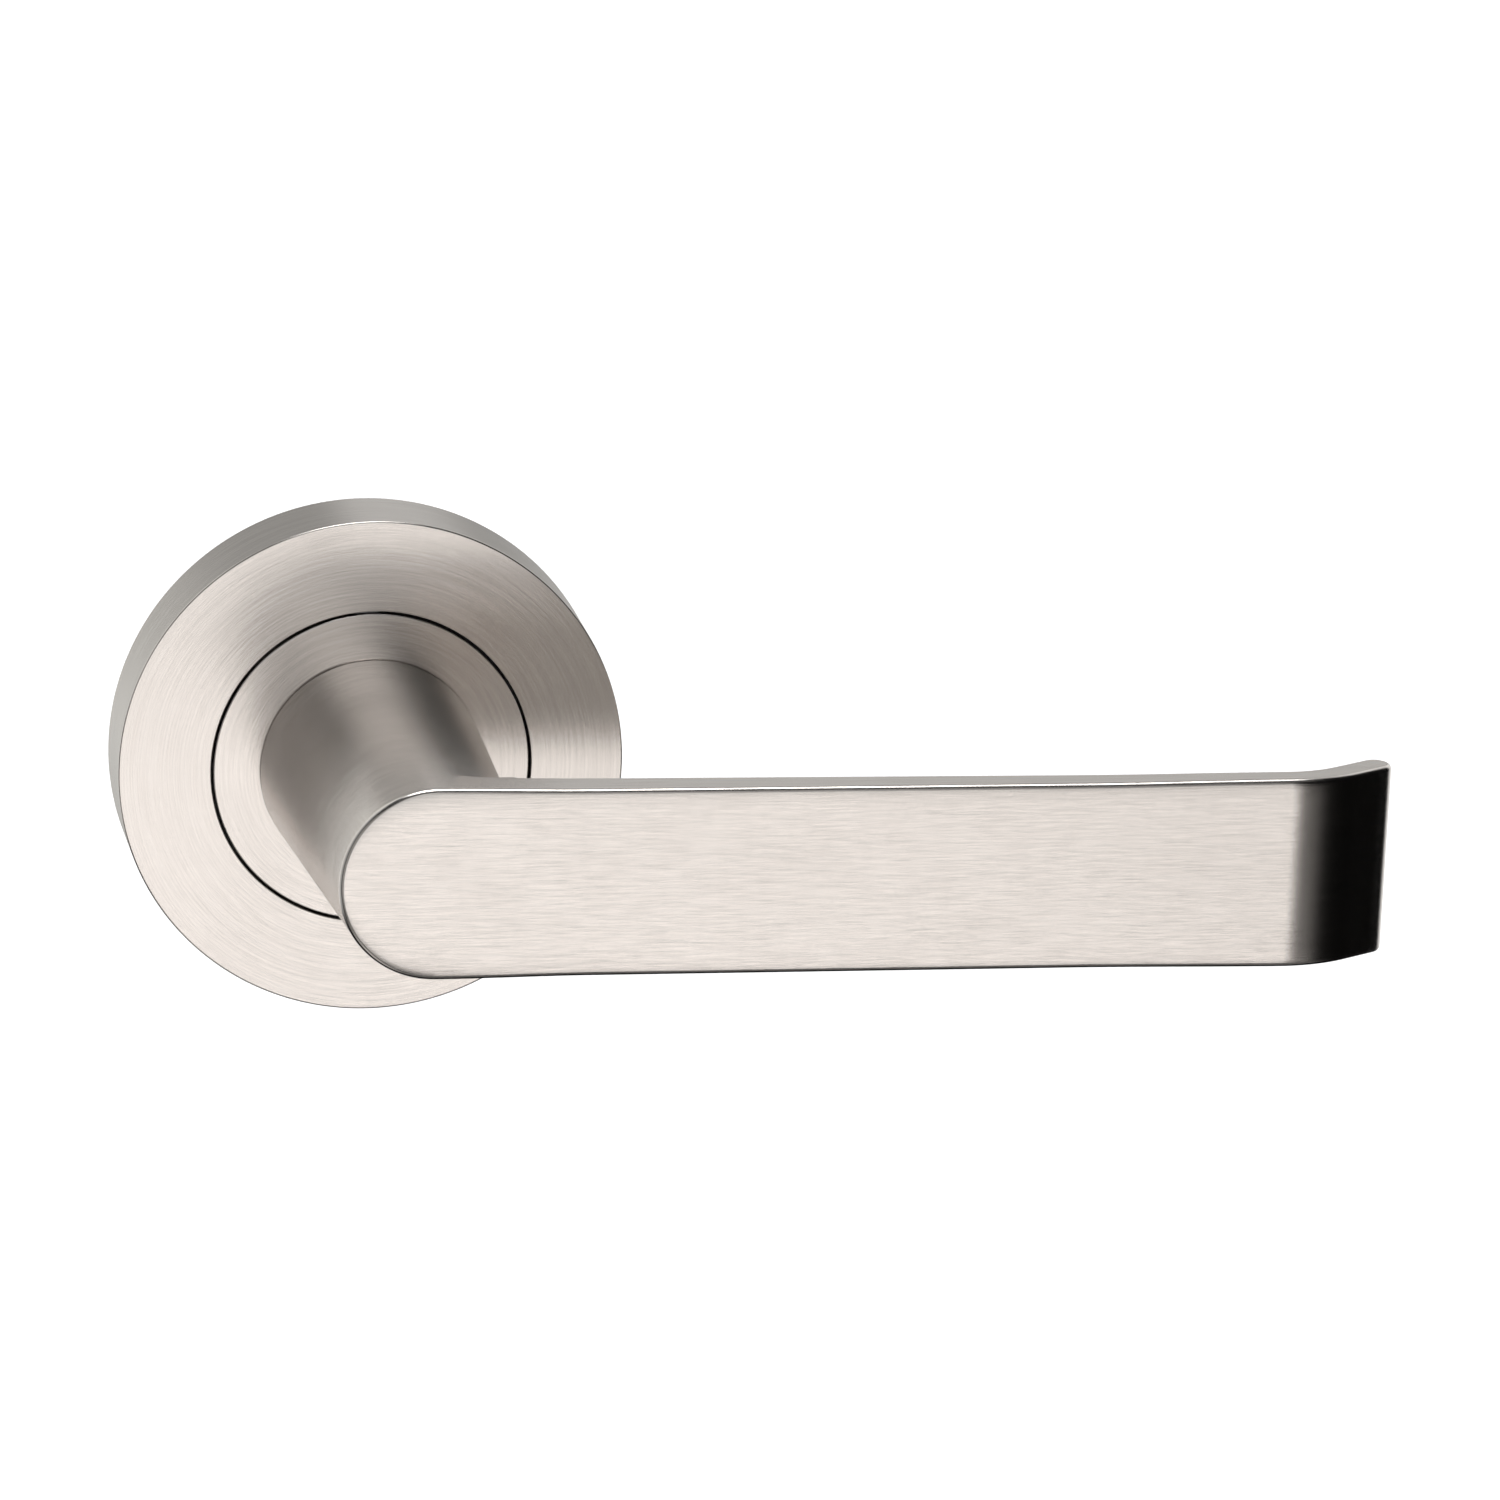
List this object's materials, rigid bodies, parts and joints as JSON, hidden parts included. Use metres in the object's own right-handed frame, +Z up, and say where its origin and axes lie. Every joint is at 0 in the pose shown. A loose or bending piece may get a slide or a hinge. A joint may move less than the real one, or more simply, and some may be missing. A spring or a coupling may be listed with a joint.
{
  "type": "door lever handle",
  "caption": "Satin stainless door lever on a round rose: tapering neck, flat bar grip with the tip bent to the door, square spindle, sprung return and through-bolt posts.",
  "frame": {"origin": "where the turning axis of the lever meets the surface of the door, at the centre of the rose's back", "axes": "+X from the turning axis to the lever's tip, +Y into the door along the spindle, +Z up"},
  "size_m": [0.1525, 0.1135, 0.064],
  "materials": {
    "satin_steel": "satin brushed stainless steel: lengthways grain on the grip, circular grain on the rose",
    "bright_steel": "bright turned steel",
    "zinc_casting": "as-cast zinc alloy, fine matt grain",
    "spring_steel": "oiled dark spring steel",
    "black_steel": "black oxide",
    "nylon": "natural nylon",
    "zinc_plate": "zinc-plated steel"
  },
  "bodies": {
    "rose": {"rose_cover": "satin_steel", "base_plate": "zinc_casting", "bearing_bush": "nylon", "glide_washer": "nylon", "stop_pin_rest": "bright_steel", "stop_pin_end": "bright_steel", "return_spring": "spring_steel", "cover_clip_1": "spring_steel", "cover_clip_2": "spring_steel", "cover_clip_3": "spring_steel", "cover_clip_4": "spring_steel", "spring_cover": "zinc_plate", "bolt_post_upper": "zinc_plate", "bolt_post_lower": "zinc_plate", "wood_screw_1": "zinc_plate", "wood_screw_2": "zinc_plate", "wood_screw_3": "zinc_plate", "wood_screw_4": "zinc_plate"},
    "lever": {"lever_handle": "satin_steel", "collar_disc": "satin_steel", "spring_driver": "bright_steel", "spindle": "zinc_plate", "grub_screw": "black_steel", "circlip": "spring_steel", "thrust_washer": "bright_steel"}
  },
  "joints": [
    {"name": "lever_turn", "type": "hinge", "parent": "rose", "child": "lever", "pos_m": [0, 0, 0], "axis": [0, 1, 0], "range_deg": [0, 40], "stiffness_Nm_per_rad": 0.6, "springref_deg": -45.84, "deforming": ["return_spring"]}
  ]
}
